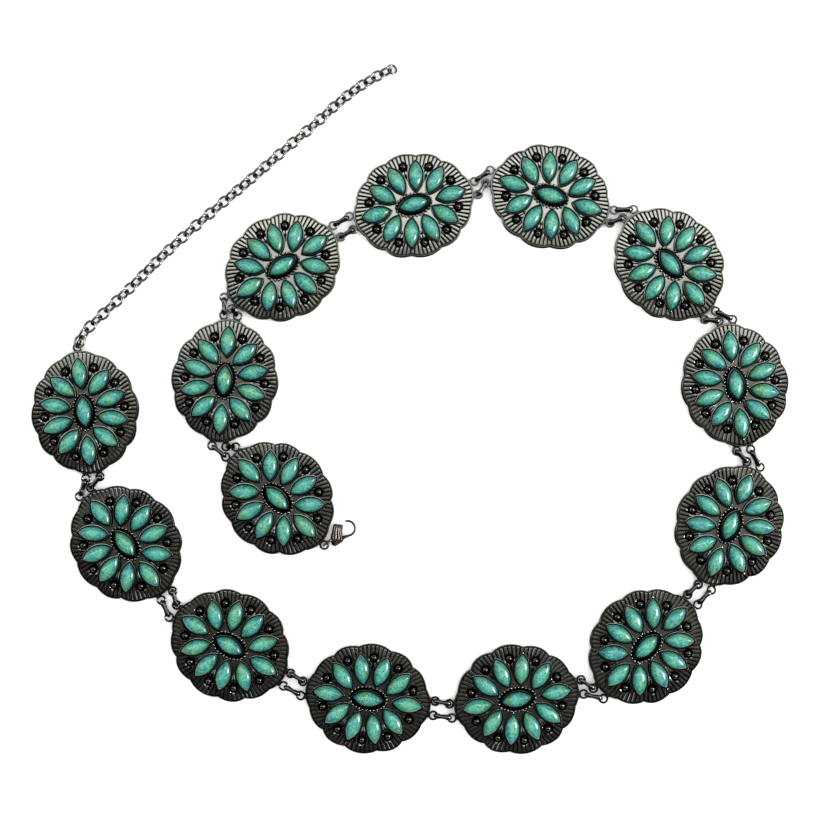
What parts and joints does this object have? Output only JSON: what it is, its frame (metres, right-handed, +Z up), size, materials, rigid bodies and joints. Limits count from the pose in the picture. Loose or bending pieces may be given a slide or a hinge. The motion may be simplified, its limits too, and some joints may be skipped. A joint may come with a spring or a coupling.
{
  "type": "waist chain",
  "caption": "Waist chain of scalloped oval medallions with marquise turquoise stones, joined by pairs of wire links, with a hook at one end and a thin extension chain at the other",
  "frame": {"origin": "middle of the belt's outline as it lies, on the surface that it lies on", "axes": "+X to the right of the lying belt as it is seen from above, +Y towards the extension chain's free end, +Z up, out of the medallions' faces"},
  "size_m": [0.3022, 0.2768, 0.0076],
  "materials": {
    "medallion": "dark gunmetal plating, set with glossy turquoise stones",
    "links": "dark gunmetal plating",
    "hook": "dark gunmetal plating",
    "chain": "bright gunmetal plating"
  },
  "bodies": {
    "root": {"end_ring": "chain", "extension_chain": "chain", "hook_clasp": "hook", "jump_ring": "chain", "link_inner_01": "links", "link_inner_02": "links", "link_inner_03": "links", "link_inner_04": "links", "link_inner_05": "links", "link_inner_06": "links", "link_inner_07": "links", "link_inner_08": "links", "link_inner_09": "links", "link_inner_10": "links", "link_inner_11": "links", "link_inner_12": "links", "link_inner_13": "links", "link_outer_01": "links", "link_outer_02": "links", "link_outer_03": "links", "link_outer_04": "links", "link_outer_05": "links", "link_outer_06": "links", "link_outer_07": "links", "link_outer_08": "links", "link_outer_09": "links", "link_outer_10": "links", "link_outer_11": "links", "link_outer_12": "links", "link_outer_13": "links", "medallion_01": "medallion", "medallion_02": "medallion", "medallion_03": "medallion", "medallion_04": "medallion", "medallion_05": "medallion", "medallion_06": "medallion", "medallion_07": "medallion", "medallion_08": "medallion", "medallion_09": "medallion", "medallion_10": "medallion", "medallion_11": "medallion", "medallion_12": "medallion", "medallion_13": "medallion", "medallion_14": "medallion"}
  },
  "joints": []
}
